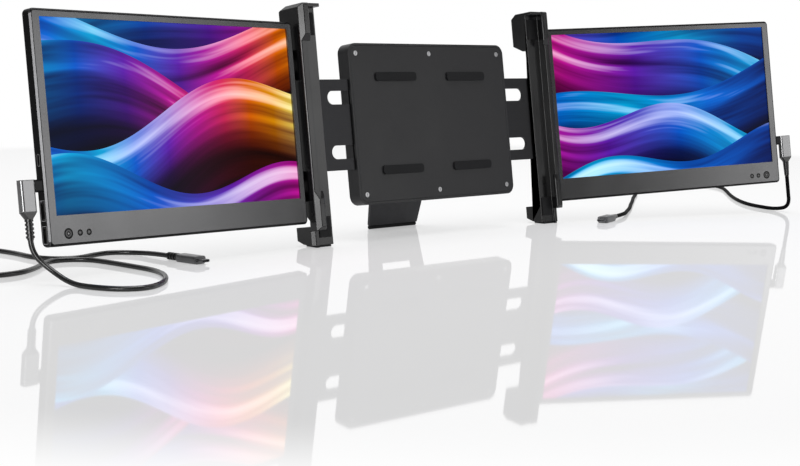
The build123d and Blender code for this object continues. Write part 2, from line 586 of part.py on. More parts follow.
def usb_c_sockets():
    tongue = (6.6, 0.7, SOCKET_DEPTH - 1.2)
    return [socket(USB_C, height, tongue, USB_C[1] / 2 - 0.05) for height in USB_C_HEIGHTS]


def hdmi_socket():
    return socket(HDMI, HDMI_HEIGHT, (11.6, 0.9, SOCKET_DEPTH - 1.5), 0.6)


def usb_a_socket():
    return socket(USB_A, USB_A_HEIGHT, (10.6, 1.4, SOCKET_DEPTH - 1.5), 0.4)


# ---------------------------------------------------------------- plugs
def plug_height():
    return MONITOR_LOW + USB_C_HEIGHTS[1]


def body_middle():
    return EDGE_OUT + 0.2 + NOSE[2] + PLUG_BODY[0] / 2


def angled_plug():
    """Right-angle plug in the monitor's lower USB-C socket: hollow tip, collar and metal body."""
    z = plug_height()
    start = EDGE_OUT + 0.2
    place = Pos(MID, z)
    tip_plane = Plane.YZ.offset(start - PLUG_TIP_LENGTH)
    tip = extrude(tip_plane * place * RectangleRounded(PLUG_TIP[1], PLUG_TIP[0], PLUG_TIP[1] / 2 - 0.02),
                  amount=PLUG_TIP_LENGTH + 0.3)
    tip -= extrude(tip_plane * place * Rectangle(PLUG_TIP[1] - 1.2, PLUG_TIP[0] - 1.2),
                   amount=PLUG_TIP_LENGTH - 0.4)
    nose = extrude(Plane.YZ.offset(start) * place * RectangleRounded(NOSE[1], NOSE[0], 1.5), amount=NOSE[2])
    middle = body_middle()
    half = PLUG_BODY[0] / 2
    top = z + NOSE[0] / 2
    outline = Pos(middle, MID) * RectangleRounded(2 * half, PLUG_BODY[1], 1.8)
    body = extrude(Plane.XY.offset(top - PLUG_BODY[2]) * outline, amount=PLUG_BODY[2])
    return tip + nose + body


def boot_top():
    return plug_height() + NOSE[0] / 2 - PLUG_BODY[2]


def cable_exit():
    """Where the cable leaves the boot, about the hinge pin."""
    return (body_middle(), MID, boot_top() - TAPER - BOOT[1])


def plug_boot(ribs):
    """Strain relief below the angled plug, tapered from its body to the cable and ringed if it has ribs."""
    radius, length = BOOT
    top = boot_top()
    half_x, half_y = PLUG_BODY[0] / 2 - 0.3, PLUG_BODY[1] / 2 - 0.3
    flare = [(0, top), (half_x + 0.5, top), (radius, top - TAPER), (0, top - TAPER)]
    taper = revolve(Plane.XZ * make_face(Polyline(*flare, close=True)), Axis.Z)
    taper &= block((-half_x, half_x), (-half_y, half_y), (top - TAPER, top))
    return Pos(body_middle(), MID, 0) * (taper + boot_shaft(top - TAPER, radius, length, ribs))


def boot_shaft(top, radius, length, ribs):
    """The round part of a boot, hanging from z = top: a slim cone, or a stack of rings."""
    slim = radius - BOOT_STEP
    points = [(0, top), (radius, top)]
    for ring in range(ribs):
        step = length / ribs
        start = top - ring * step
        points += [(radius, start - step * 0.55), (slim, start - step * 0.62), (slim, start - step)]
        if ring < ribs - 1:
            points.append((radius, start - step - 0.01))
    if not ribs:
        points.append((slim, top - length))
    points.append((0, top - length))
    return revolve(Plane.XZ * make_face(Polyline(*points, close=True)), Axis.Z)


def far_plug(ribs):
    """Straight plug at the cable's other end, drawn upright, with the cable leaving it at the origin."""
    radius, length = FAR_BOOT
    boot = boot_shaft(length, radius, length, ribs)
    width, depth, reach = FAR_BODY
    body = extrude(Plane.XY.offset(length) * RectangleRounded(width, depth, 2.2), amount=reach)
    end = length + reach
    tip = extrude(Plane.XY.offset(end) * RectangleRounded(PLUG_TIP[0], PLUG_TIP[1], PLUG_TIP[1] / 2 - 0.02),
                  amount=PLUG_TIP_LENGTH + 0.6)
    tip -= extrude(Plane.XY.offset(end + 0.8) * Rectangle(PLUG_TIP[0] - 1.2, PLUG_TIP[1] - 1.2),
                   amount=PLUG_TIP_LENGTH)
    return boot, body + tip


# ---------------------------------------------------------------- cables
# Corners of each cable's route from its boot to its far plug: X and Y from where the lid's hinge line
# stands, and height above the desk.
LEFT_FIRST_RUN, RIGHT_FIRST_RUN = 10.0, 14.5
LEFT_ROUTE = [
    (-436, -34, 10), (-430, -50, LYING), (-427, -72, LYING), (-416, -92, LYING), (-396, -99, LYING),
    (-372, -82, LYING), (-354, -56, LYING), (-346, -30, LYING), (-348, 0, LYING), (-350, 28, LYING),
    (-354, 50, LYING), (-369, 61, LYING), (-387, 59, LYING), (-410, 34, LYING), (-434, 18, LYING),
    (-462, 20, LYING), (-490, 42, LYING), (-503, 76, LYING), (-500, 114, LYING), (-482, 148, LYING),
    (-450, 172, LYING), (-414, 178, LYING), (-387, 156, LYING), (-380, 122, LYING), (-382, 90, LYING),
    (-374, 70, LYING), (-356, 62, LYING), (-338, 71, LYING), (-317, 76, LYING), (-302, 61, LYING),
    (-299, 40, PLUG_LYING), (-297, 24, PLUG_LYING),
]
RIGHT_ROUTE = [
    (432.5, -86, 7), (438, -66, LYING), (449, -34, LYING), (465, -8, LYING), (496, 25, LYING),
    (535, 60, LYING), (578, 95, LYING), (616, 128, LYING), (640, 168, LYING), (634, 210, LYING),
    (600, 232, LYING), (558, 224, LYING), (522, 196, LYING), (484, 162, LYING), (449, 134, LYING),
    (414, 111, LYING), (381, 86, LYING), (347, 62, LYING), (315, 38, LYING), (284, 18, LYING),
    (256, -2, PLUG_LYING), (228, -12, PLUG_LYING),
]


def cable_points(side, route, first_run):
    """The whole route in the finished part's frame, leaving along the boot's axis."""
    start = monitor_point(cable_exit(), side)
    x, y, z = cable_exit()
    along = monitor_point((x, y, z - first_run), side)
    return [start, along] + [Vector(px + LID_MIDDLE[0], py + LID_MIDDLE[1], pz) for px, py, pz in route]


def cable(points):
    """A tube of straight runs joined by arcs as large as the shorter run allows."""
    radii = []
    for before, here, after in zip(points, points[1:], points[2:]):
        run_in, run_out = here - before, after - here
        turn = math.radians(run_in.get_angle(run_out))
        radii.append(0.45 * min(run_in.length, run_out.length) / math.tan(turn / 2))
    path = FilletPolyline(*points, radius=radii)
    section = Plane(origin=points[0], z_dir=points[1] - points[0]) * Circle(CABLE_R)
    tube = sweep(section, path)
    print(f"cable {path.length:.1f} mm, smallest radius {min(radii):.1f},",
          f"volume {tube.volume:.0f} against {math.pi * CABLE_R ** 2 * path.length:.0f}")
    print("  corners", [tuple(round(c, 2) for c in point) for point in points])
    print("  radii", [round(radius, 1) for radius in radii])
    return tube


# ---------------------------------------------------------------- placing and writing
def leaned(shape):
    return Pos(*LID_MIDDLE, DESK) * Rot(-LEAN, 0, 0) * shape


def mirrored(shape, side):
    return shape if side == "right" else mirror(shape, about=Plane.YZ)


def bracket_place(shape, side="right"):
    return leaned(mirrored(shape, side))


def monitor_place(shape, side):
    toe = LEFT_TOE_IN if side == "left" else -RIGHT_TOE_IN
    hinge = -HINGE_X if side == "left" else HINGE_X
    return leaned(Pos(hinge, HINGE_Y, 0) * Rot(0, 0, toe) * mirrored(shape, side))


def monitor_point(point, side):
    return monitor_place(Pos(*point) * Sphere(1), side).center()


def lying_place(shape, before, end):
    """A plug drawn upright is laid on the desk, pointing on from the cable's last run."""
    along = (end - before).normalized()
    return Plane(origin=end, x_dir=Vector(0, 0, 1).cross(along), z_dir=along).location * shape


def write(name, shapes, place):
    several = shapes if isinstance(shapes, list) else [shapes]
    solids = [solid for shape in several for solid in place(shape).solids()]
    if len(solids) == 1:
        export_step(solids[0], f"parts/{name}.step")
    else:
        export_step(Compound(solids), f"parts/{name}.step")


def build_bracket_side(side):
    for name, shapes in {
        "grip_frame": grip_frame(),
        "grip_pads": grip_pads(),
        "foot_pad": foot_pad(),
        "slide_plate": slide_plate(),
        "bracket_screws": bracket_screws(),
        "slide_spring": spring(),
        "hinge_frame_leaves": [frame_leaf(z) for z in HINGE_HEIGHTS],
    }.items():
        write(f"{side}_{name}", shapes, lambda shape: bracket_place(shape, side))


def build_monitor(side):
    half = HINGE_LENGTH / 2
    hinge_pins = [rod_z(HINGE_PIN_R, 0, 0, (z - half, z + half)) for z in HINGE_HEIGHTS]
    for name, shapes in {
        "front_bezel": front_bezel(),
        "rear_case": rear_case(),
        "display_panel": display_panel(),
        "main_board": main_board(),
        "board_screws": board_screws(),
        "usb_c_sockets": usb_c_sockets(),
        "hdmi_socket": hdmi_socket(),
        "usb_a_socket": usb_a_socket(),
        "hinge_monitor_leaves": [monitor_leaf(z) for z in HINGE_HEIGHTS],
        "hinge_pins": hinge_pins,
        "power_button": button("power_button"),
        "menu_button": button("menu_button"),
        "select_button": button("select_button"),
        "angled_plug": angled_plug(),
    }.items():
        write(f"{side}_{name}", shapes, lambda shape: monitor_place(shape, side))


def build_cable(side, route, first_run, ribs):
    points = cable_points(side, route, first_run)
    boot, body = far_plug(ribs)
    write(f"{side}_plug_boot", plug_boot(ribs), lambda shape: monitor_place(shape, side))
    write(f"{side}_usb_c_cable", cable(points), lambda shape: shape)
    write(f"{side}_far_boot", boot, lambda shape: lying_place(shape, *points[-2:]))
    write(f"{side}_far_plug", body, lambda shape: lying_place(shape, *points[-2:]))


def build_housing():
    stand = Pos(0, *STAND_PIVOT) * Rot(STAND_SWING, 0, 0) * Pos(0, -STAND_PIVOT[0], -STAND_PIVOT[1])
    for name, shapes in {
        "housing_front_plate": front_plate(),
        "housing_rear_cover": rear_cover(),
        "housing_screws": housing_screws(),
        "lid_pads": lid_pads(),
        "upper_guide_rail": guide_rail(True),
        "lower_guide_rail": guide_rail(False),
        "kickstand_plate": stand * stand_plate(),
        "kickstand_foot": stand * stand_foot(),
        "kickstand_pin": stand_pin(),
    }.items():
        write(name, shapes, leaned)


build_housing()
for side_name, cable_route, straight, rib_count in (
        ("left", LEFT_ROUTE, LEFT_FIRST_RUN, LEFT_RIBS),
        ("right", RIGHT_ROUTE, RIGHT_FIRST_RUN, RIGHT_RIBS)):
    build_bracket_side(side_name)
    build_monitor(side_name)
    build_cable(side_name, cable_route, straight, rib_count)
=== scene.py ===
# %% [markdown]
# # A laptop screen extender
# Two slim monitors hang on a clip-on bracket, and each has a cable of its own.
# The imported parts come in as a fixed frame. Most of them already have the right shape, so the
# work here is mainly on their finishes. Only the two cables are made new, and the two grip
# frames are copied to round their edges.

import math

import bpy
from mathutils import Euler, Matrix, Vector


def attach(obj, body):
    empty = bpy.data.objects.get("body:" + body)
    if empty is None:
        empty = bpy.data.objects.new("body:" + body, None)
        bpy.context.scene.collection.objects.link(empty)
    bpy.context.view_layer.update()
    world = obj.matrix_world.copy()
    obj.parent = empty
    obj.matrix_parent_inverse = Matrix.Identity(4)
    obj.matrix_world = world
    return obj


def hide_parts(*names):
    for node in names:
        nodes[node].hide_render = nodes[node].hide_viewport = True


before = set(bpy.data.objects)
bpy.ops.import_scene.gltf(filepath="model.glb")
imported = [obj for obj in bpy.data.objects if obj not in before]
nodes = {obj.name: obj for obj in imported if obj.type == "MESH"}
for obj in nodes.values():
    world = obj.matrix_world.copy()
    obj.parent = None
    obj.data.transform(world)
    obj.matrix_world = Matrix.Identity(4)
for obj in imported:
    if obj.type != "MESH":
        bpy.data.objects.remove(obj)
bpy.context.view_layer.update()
bpy.ops.object.select_all(action="DESELECT")

# %% [markdown]
# ## The camera
# It stands low, to the left of the product and in front of it, and looks a little down.
# A lens of 68 mm keeps both monitors in view with only mild perspective. Its place and
# its three directions are given outright, because the tilt and roll are both small.

# %% Set the camera
LENS = 68.165
SENSOR_WIDTH = 36
EYE = (-0.98252, -0.97955, 0.16943)
RIGHTWARD = (0.72811, -0.68535, 0.01221)
FORWARD = (0.68152, 0.72190, -0.12000)
UPWARD = (0.07343, 0.09569, 0.99270)

camera = bpy.data.objects.new("camera", bpy.data.cameras.new("camera"))
camera.data.lens = LENS
camera.data.sensor_width = SENSOR_WIDTH
camera.data.clip_end = 50
turn = Matrix((RIGHTWARD, UPWARD, [-f for f in FORWARD])).transposed()
camera.matrix_world = Matrix.Translation(EYE) @ turn.to_4x4()
bpy.context.scene.collection.objects.link(camera)
bpy.context.scene.camera = camera
print("camera at", EYE)

# %% [markdown]
# ## The cables
# A USB-C lead is limp and about 4 mm thick. It leaves its boot straight down, meets the desk,
# and runs on in loose bends to its second plug. A NURBS curve of order 3 glides past its control
# points, as a limp lead does. A round bevel of 1 m, scaled by each point's small radius, gives it
# its thickness.

# %% A function that lays a cable along its route
CABLE_R = 0.0020


def lay_cable(name, route):
    bone = bpy.data.curves.new(name, "CURVE")
    bone.dimensions = "3D"
    bone.bevel_depth = 1.0
    bone.bevel_resolution = 5
    bone.resolution_u = 10
    line = bone.splines.new("NURBS")
    line.points.add(len(route) - 1)
    for point, place in zip(line.points, route):
        point.co = (*place, 1)
        point.radius = CABLE_R
    line.order_u = 3
    line.use_endpoint_u = True
    bone.use_fill_caps = True
    piece = bpy.data.objects.new(name, bone)
    bpy.context.scene.collection.objects.link(piece)
    print(name, "with", len(route), "control points")
    return piece


# %% [markdown]
# The left lead drops in front of the monitor, swings forward, goes under the monitor and round
# behind it in a wide loop, and comes back to its plug beside the bracket.

# %% The left cable
LEFT_ROUTE = [
    (-0.43941, -0.02131, 0.03179), (-0.43941, -0.02272, 0.02189), (-0.42938, -0.03293, 0.01000),
    (-0.42338, -0.04893, 0.00200), (-0.42038, -0.07093, 0.00200), (-0.40938, -0.09093, 0.00200),
    (-0.38938, -0.09793, 0.00200), (-0.36538, -0.08093, 0.00200), (-0.34738, -0.05493, 0.00200),
    (-0.33938, -0.02893, 0.00200), (-0.34138, 0.00107, 0.00200), (-0.34338, 0.02907, 0.00200),
    (-0.34738, 0.05107, 0.00200), (-0.36238, 0.06207, 0.00200), (-0.38038, 0.06007, 0.00200),
    (-0.40338, 0.03507, 0.00200), (-0.42738, 0.01907, 0.00200), (-0.45538, 0.02107, 0.00200),
    (-0.48338, 0.04307, 0.00200), (-0.49638, 0.07707, 0.00200), (-0.49338, 0.11507, 0.00200),
    (-0.47538, 0.14907, 0.00200), (-0.44338, 0.17307, 0.00200), (-0.40738, 0.17907, 0.00200),
    (-0.38038, 0.15707, 0.00200), (-0.37338, 0.12307, 0.00200), (-0.37538, 0.09107, 0.00200),
    (-0.36738, 0.07107, 0.00200), (-0.34938, 0.06307, 0.00200), (-0.33138, 0.07207, 0.00200),
    (-0.31038, 0.07707, 0.00200), (-0.29538, 0.06207, 0.00200), (-0.29238, 0.04107, 0.00320),
    (-0.29038, 0.02507, 0.00320),
]
left_cable = lay_cable("left_lead", LEFT_ROUTE)
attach(left_cable, "left_monitor")
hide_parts("left_usb_c_cable")

# %% [markdown]
# The right lead hangs straight, turns back behind the monitor, and comes out again under it.

# %% The right cable
RIGHT_ROUTE = [
    (0.43800, -0.08087, 0.04032), (0.43800, -0.08292, 0.02597), (0.43912, -0.08493, 0.00700),
    (0.44462, -0.06493, 0.00200), (0.45562, -0.03293, 0.00200), (0.47162, -0.00693, 0.00200),
    (0.50262, 0.02607, 0.00200), (0.54162, 0.06107, 0.00200), (0.58462, 0.09607, 0.00200),
    (0.62262, 0.12907, 0.00200), (0.64662, 0.16907, 0.00200), (0.64062, 0.21107, 0.00200),
    (0.60662, 0.23307, 0.00200), (0.56462, 0.22507, 0.00200), (0.52862, 0.19707, 0.00200),
    (0.49062, 0.16307, 0.00200), (0.45562, 0.13507, 0.00200), (0.42062, 0.11207, 0.00200),
    (0.38762, 0.08707, 0.00200), (0.35362, 0.06307, 0.00200), (0.32162, 0.03907, 0.00200),
    (0.29062, 0.01907, 0.00200), (0.26262, -0.00093, 0.00320), (0.23462, -0.01093, 0.00320),
]
right_cable = lay_cable("right_lead", RIGHT_ROUTE)
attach(right_cable, "right_monitor")
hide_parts("right_usb_c_cable")

# %% [markdown]
# ## Where each monitor stands
# Patterns on a monitor, such as the picture on its screen, are drawn in the monitor's own
# directions: outwards from its hinge, back from its face, and up. The whole product leans back
# by a few degrees, and each monitor is turned in towards the user about its hinge pin.

# %% The monitors' own frames
LEAN = math.radians(8.15)
LID_MIDDLE = (0.00662, 0.00107)
DESK = 0.00596
HINGE = (0.1673, 0.0102)
TOE_IN = {"left": math.radians(7.26), "right": math.radians(-19.91)}


def bracket_point(x, y, z):
    down, out = math.sin(LEAN), math.cos(LEAN)
    return Vector((x + LID_MIDDLE[0], LID_MIDDLE[1] + y * out + z * down, DESK - y * down + z * out))


def monitor_frame(side):
    """Where a monitor's pin stands on the hinge line, and how the monitor is turned."""
    outward = -1 if side == "left" else 1
    pin = bracket_point(outward * HINGE[0], HINGE[1], 0)
    turned = Euler((-LEAN, 0, 0)).to_matrix() @ Euler((0, 0, TOE_IN[side])).to_matrix()
    return pin, turned.to_euler(), outward


print("left pin at", [round(c, 4) for c in monitor_frame("left")[0]])

# %% [markdown]
# ## Small helpers for materials
# Every finish starts from a Principled shader. Its nodes are added one by one, and a pattern is
# worked out with Math nodes, which take plain numbers as well as the results of other nodes.

# %% Nodes and arithmetic


def new_finish(name):
    finish = bpy.data.materials.new(name)
    finish.use_nodes = True
    tree = finish.node_tree
    shader = tree.nodes["Principled BSDF"]
    return finish, tree, shader


def add(tree, kind, **settings):
    node = tree.nodes.new(kind)
    for key, value in settings.items():
        setattr(node, key, value)
    return node


def sum_up(tree, operation, first, second=None, third=None):
    """One Math node. Numbers and sockets can both be given."""
    node = add(tree, "ShaderNodeMath", operation=operation)
    for socket, value in zip(node.inputs, (first, second, third)):
        if value is None:
            continue
        if isinstance(value, (int, float)):
            socket.default_value = value
        else:
            tree.links.new(value, socket)
    return node.outputs[0]


# %% [markdown]
# The grain of a finish comes from noise on Object coordinates. These are metres here, so a scale
# of 1000 gives grains of about a millimetre. A noise then drives a roughness or a mix of colours.

# %% Noise, ranges and colours


def noise(tree, scale, detail=3.0, rough=0.55, stretch=(1, 1, 1)):
    where = add(tree, "ShaderNodeTexCoord").outputs["Object"]
    spread = add(tree, "ShaderNodeMapping")
    spread.inputs["Scale"].default_value = stretch
    tree.links.new(where, spread.inputs["Vector"])
    made = add(tree, "ShaderNodeTexNoise")
    made.inputs["Scale"].default_value = scale
    made.inputs["Detail"].default_value = detail
    made.inputs["Roughness"].default_value = rough
    tree.links.new(spread.outputs[0], made.inputs["Vector"])
    return made.outputs["Fac"]


def graded(tree, value, start, end, low, high, kind="LINEAR"):
    """A number that goes from low to high as value goes from start to end."""
    node = add(tree, "ShaderNodeMapRange", interpolation_type=kind)
    limits = (("From Min", start), ("From Max", end), ("To Min", low), ("To Max", high))
    for key, limit in limits:
        node.inputs[key].default_value = limit
    tree.links.new(value, node.inputs["Value"])
    return node.outputs[0]


def between(tree, factor, low, high):
    """The same for a noise, which keeps mostly between 0.3 and 0.7."""
    return graded(tree, factor, 0.3, 0.7, low, high)


def blend_colours(tree, factor, first, second):
    node = add(tree, "ShaderNodeMix", data_type="RGBA")
    for socket, value in zip((node.inputs[6], node.inputs[7]), (first, second)):
        if isinstance(value, tuple):
            socket.default_value = (*value, 1)
        else:
            tree.links.new(value, socket)
    tree.links.new(factor, node.inputs[0])
    return node.outputs[2]


# %% [markdown]
# Bump gives a surface its fine relief, and a finish goes to a part by way of its material slots.

# %% Bump, and dressing the parts


def roughen(tree, shader, height, strength, depth):
    bump = add(tree, "ShaderNodeBump")
    bump.inputs["Strength"].default_value = strength
    bump.inputs["Distance"].default_value = depth
    tree.links.new(height, bump.inputs["Height"])
    tree.links.new(bump.outputs[0], shader.inputs["Normal"])
    return bump


def dress(finish, *names):
    for name in names:
        slots = nodes[name].data.materials
        slots.clear()
        slots.append(finish)


def both(*names):
    return [f"{side}_{name}" for side in ("left", "right") for name in names]


# %% [markdown]
# ## Moulded plastic
# The grip frames and the housing are charcoal plastic from a spark-eroded mould: a fine pebbled
# skin with a soft gloss. Handling polishes some patches, so a slow noise moves the roughness.
# A Bevel node rounds the edges a little, as a mould does, and they catch the light.

# %% Moulded plastic
PATCH_SCALE = 18
PEBBLE_SCALE = 2600
PEBBLE_DEPTH = 0.00008


def moulded(name, colour, roughness, grain, edge=0.0004, sheen=0.5):
    finish, tree, shader = new_finish(name)
    patches = noise(tree, PATCH_SCALE, 4)
    lighter = tuple(c * 1.25 + 0.004 for c in colour)
    tree.links.new(blend_colours(tree, between(tree, patches, 0.0, 1.0), colour, lighter),
                   shader.inputs["Base Color"])
    tree.links.new(between(tree, patches, roughness - 0.05, roughness + 0.06),
                   shader.inputs["Roughness"])
    shader.inputs["Specular IOR Level"].default_value = sheen
    bump = roughen(tree, shader, noise(tree, PEBBLE_SCALE, 2), grain, PEBBLE_DEPTH)
    if edge:
        rounded = add(tree, "ShaderNodeBevel", samples=4)
        rounded.inputs["Radius"].default_value = edge
        tree.links.new(rounded.outputs[0], bump.inputs["Normal"])
    return finish


charcoal = moulded("charcoal_plastic", (0.007, 0.007, 0.0075), 0.22, 0.05, edge=0.0, sheen=0.65)
housing_plastic = moulded("housing_plastic", (0.015, 0.015, 0.0165), 0.38, 0.4)
dress(housing_plastic, "housing_front_plate", "housing_rear_cover")
print("housing dressed")

# %% [markdown]
# ## The grip frames with softened edges
# A moulded frame has no sharp edges: each one is rounded by about half a millimetre, and these
# roundings carry the bright lines that draw its shape. The CAD part has the true form with sharp
# edges. So a copy of its mesh is merged, its flat faces are joined, and a Bevel modifier rounds
# every edge that turns by more than 25 degrees.

# %% Soften a copy of a part
ROUNDED_FROM = math.radians(25)
SMOOTH_UP_TO = math.radians(35)


def softened(name, part, radius, body, finish):
    piece = bpy.data.objects.new(name, nodes[part].data.copy())
    bpy.context.scene.collection.objects.link(piece)
    bpy.context.view_layer.objects.active = piece
    piece.select_set(True)
    bpy.ops.object.mode_set(mode="EDIT")
    bpy.ops.mesh.select_all(action="SELECT")
    bpy.ops.mesh.remove_doubles(threshold=0.00001)
    bpy.ops.mesh.dissolve_limited(angle_limit=math.radians(1))
    bpy.ops.mesh.normals_make_consistent(inside=False)
    bpy.ops.object.mode_set(mode="OBJECT")
    rounding = piece.modifiers.new("rounding", "BEVEL")
    rounding.width = radius
    rounding.segments = 3
    rounding.limit_method = "ANGLE"
    rounding.angle_limit = ROUNDED_FROM
    rounding.use_clamp_overlap = False
    bpy.ops.object.modifier_apply(modifier=rounding.name)
    bpy.ops.object.shade_smooth_by_angle(angle=SMOOTH_UP_TO)
    settled = piece.modifiers.new("settled", "WEIGHTED_NORMAL")
    settled.keep_sharp = True
    bpy.ops.object.modifier_apply(modifier=settled.name)
    piece.data.materials.clear()
    piece.data.materials.append(finish)
    piece.select_set(False)
    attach(piece, body)
    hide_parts(part)
    print(name, len(piece.data.polygons), "faces")
    return piece


# %% [markdown]
# Each grip frame holds one side of the lid, and its softened copy rides on the same bracket.

# %% The grip frames
EDGE_RADIUS = 0.0005
for side in ("left", "right"):
    softened(f"{side}_grip", f"{side}_grip_frame", EDGE_RADIUS, f"{side}_bracket",
             charcoal)

# %% [markdown]
# ## The monitor's grey bezel
# The frame round each screen is coated in a metallic grey. Fine flakes in the lacquer turn the
# softbox into a slow gradient along the bezel: pale where it faces the light, dark where not.

# %% The bezel
bezel_grey, bezel_tree, bezel_shader = new_finish("bezel_metallic_grey")
flakes = noise(bezel_tree, 2200, 2)
bezel_tree.links.new(blend_colours(bezel_tree, between(bezel_tree, flakes, 0.0, 1.0),
                                   (0.150, 0.150, 0.152), (0.185, 0.185, 0.188)),
                     bezel_shader.inputs["Base Color"])
bezel_tree.links.new(between(bezel_tree, noise(bezel_tree, 30, 3), 0.20, 0.25),
                     bezel_shader.inputs["Roughness"])
bezel_shader.inputs["Metallic"].default_value = 0.9
roughen(bezel_tree, bezel_shader, flakes, 0.10, 0.00005)
dress(bezel_grey, *both("front_bezel"))
print("bezels dressed")

# %% [markdown]
# ## The rear case
# It is thin anodised aluminium, nearly black at the sides and graphite on the back, with a narrow
# chamfer round the front. On the outer side the chamfer is painted bright silver: partly a real cut
# metal edge, partly a painted highlight where light catches that edge; the inner chamfer stays
# black.
# The shader finds each area by how far a point lies behind the monitor's face, and how far out.

# %% A monitor's own coordinates in a shader


def own_coordinates(tree, side):
    pin, angles, outward = monitor_frame(side)
    where = add(tree, "ShaderNodeTexCoord").outputs["Object"]
    turned = add(tree, "ShaderNodeMapping", vector_type="TEXTURE")
    turned.inputs["Location"].default_value = pin
    turned.inputs["Rotation"].default_value = angles
    turned.inputs["Scale"].default_value = (outward, 1, 1)
    tree.links.new(where, turned.inputs["Vector"])
    parts = add(tree, "ShaderNodeSeparateXYZ")
    tree.links.new(turned.outputs[0], parts.inputs[0])
    return parts.outputs


# %% [markdown]
# The areas of the case overlap a little, so that no edge between two of them falls on a surface.

# %% The case finishes
FACE_DEPTH = -0.0055
BACK_DEPTH = 0.0045
OUTER_EDGE = 0.2683
CHAMFER = 0.0013
HAIR = 0.00005
SKIN = 0.0003


def cased(side):
    finish, tree, shader = new_finish(f"{side}_case_metal")
    across, depth, _ = own_coordinates(tree, side)
    # The outer chamfer's silver is partly a real cut metal edge and partly a painted highlight.
    chamfered = sum_up(tree, "LESS_THAN", depth, FACE_DEPTH + CHAMFER + HAIR)
    lit_outer_side = sum_up(tree, "GREATER_THAN", across, OUTER_EDGE - CHAMFER)
    bright = sum_up(tree, "MULTIPLY", chamfered, lit_outer_side)
    speckle = between(tree, noise(tree, 900, 3), 0.0, 1.0)
    black = blend_colours(tree, speckle, (0.004, 0.004, 0.0045), (0.007, 0.007, 0.0075))
    cut_silver_and_highlight = blend_colours(tree, speckle, (0.10, 0.10, 0.103), (0.12, 0.12, 0.123))
    back = sum_up(tree, "GREATER_THAN", depth, BACK_DEPTH - SKIN)
    graphite = blend_colours(tree, speckle, (0.045, 0.045, 0.048), (0.060, 0.060, 0.063))
    black = blend_colours(tree, back, black, graphite)
    tree.links.new(blend_colours(tree, bright, black, cut_silver_and_highlight), shader.inputs["Base Color"])
    tree.links.new(sum_up(tree, "MULTIPLY_ADD", bright, -0.12, 0.40), shader.inputs["Roughness"])
    tree.links.new(sum_up(tree, "MULTIPLY_ADD", bright, 0.8, 0.2), shader.inputs["Metallic"])
    shader.inputs["Specular IOR Level"].default_value = 0.15
    roughen(tree, shader, noise(tree, 3000, 2), 0.15, 0.00005)
    return finish


for side in ("left", "right"):
    dress(cased(side), f"{side}_rear_case")
print("cases dressed")

# %% [markdown]
# ## The pictures on the screens
# A screen that is on gives light, so its picture is emission under a thin glossy coat. The
# picture is a plain abstract one: waves of silk that lie in front of one another. Every wave has
# a crest line; below it the light fades, and fine streaks follow the crest. The waves only set
# a hue and a brightness, and one palette turns these into colour at the end. Green fades
# first, so that dim blue goes deep and dim yellow goes brown.

# %% The waves of a picture
STREAKS_LEAST = 7.0
STREAKS_MORE = 5.0
STREAK_DRIFT = 0.9


def silk_wave(tree, across, up, seed, height, slope, swing, cycles, start, fade):
    """How far a point lies below one wave's crest, and how bright the wave is there."""
    bent = sum_up(tree, "SINE", sum_up(tree, "MULTIPLY_ADD", across, cycles, start))
    crest = sum_up(tree, "ADD", sum_up(tree, "MULTIPLY_ADD", across, slope, height),
                   sum_up(tree, "MULTIPLY", bent, swing))
    below = sum_up(tree, "SUBTRACT", crest, up)
    density = sum_up(tree, "MULTIPLY_ADD", across, STREAKS_MORE, STREAKS_LEAST)
    place = add(tree, "ShaderNodeCombineXYZ")
    tree.links.new(sum_up(tree, "MULTIPLY", below, density), place.inputs[0])
    tree.links.new(sum_up(tree, "MULTIPLY", across, STREAK_DRIFT), place.inputs[1])
    place.inputs[2].default_value = seed
    streaks = add(tree, "ShaderNodeTexNoise")
    streaks.inputs["Scale"].default_value = 1.0
    streaks.inputs["Detail"].default_value = 3.0
    tree.links.new(place.outputs[0], streaks.inputs["Vector"])
    light = graded(tree, below, fade, -0.02, 0.03, 1.0, "SMOOTHERSTEP")
    silk = between(tree, streaks.outputs["Fac"], 0.05, 1.40)
    return below, sum_up(tree, "MULTIPLY", light, silk)


def colour_band(tree, factor, stops):
    ramp = add(tree, "ShaderNodeValToRGB")
    marks = ramp.color_ramp.elements
    while len(marks) < len(stops):
        marks.new(0.5)
    for mark, (place, colour) in zip(marks, stops):
        mark.position = place
        mark.color = (*colour, 1)
    tree.links.new(factor, ramp.inputs[0])
    return ramp.outputs[0]


# %% [markdown]
# One palette runs from blue by way of violet and red to yellow. Five waves make a picture. Each
# has the height, slope, swing, cycles and start of its crest, then how far down it fades, and
# last its hue at the outer and the inner end.

# %% Its colours and waves
PALETTE = [(0.0, (0.0, 0.06, 0.45)), (0.14, (0.0, 0.22, 0.95)), (0.26, (0.0, 0.60, 1.0)),
           (0.38, (0.0, 0.16, 0.85)), (0.50, (0.16, 0.02, 0.60)), (0.62, (0.70, 0.01, 0.42)),
           (0.72, (1.0, 0.04, 0.16)), (0.82, (1.0, 0.20, 0.0)), (0.92, (1.0, 0.45, 0.0)),
           (1.0, (1.0, 0.85, 0.12))]
WAVES = {
    "left": [(1.30, 0.10, 0.06, 5.0, 0.4, 0.75, 0.20, 0.66),
             (0.98, 0.02, 0.13, 4.6, 2.4, 0.60, 0.12, 0.86),
             (0.86, -0.42, 0.10, 5.6, 0.2, 0.52, 0.30, 0.98),
             (0.40, 0.26, 0.12, 6.2, 3.6, 0.46, 0.10, 1.0),
             (0.22, -0.10, 0.10, 7.0, 1.0, 0.42, 0.24, 0.62)],
    "right": [(1.32, -0.05, 0.08, 4.0, 1.4, 0.85, 0.10, 0.50),
              (0.70, 0.42, 0.10, 5.0, 0.4, 0.60, 0.26, 0.64),
              (0.78, -0.30, 0.12, 4.4, 3.2, 0.55, 0.05, 0.36),
              (0.26, 0.22, 0.12, 6.4, 5.0, 0.48, 0.22, 0.58),
              (0.22, -0.22, 0.08, 7.4, 2.0, 0.40, 0.02, 0.30)],
}

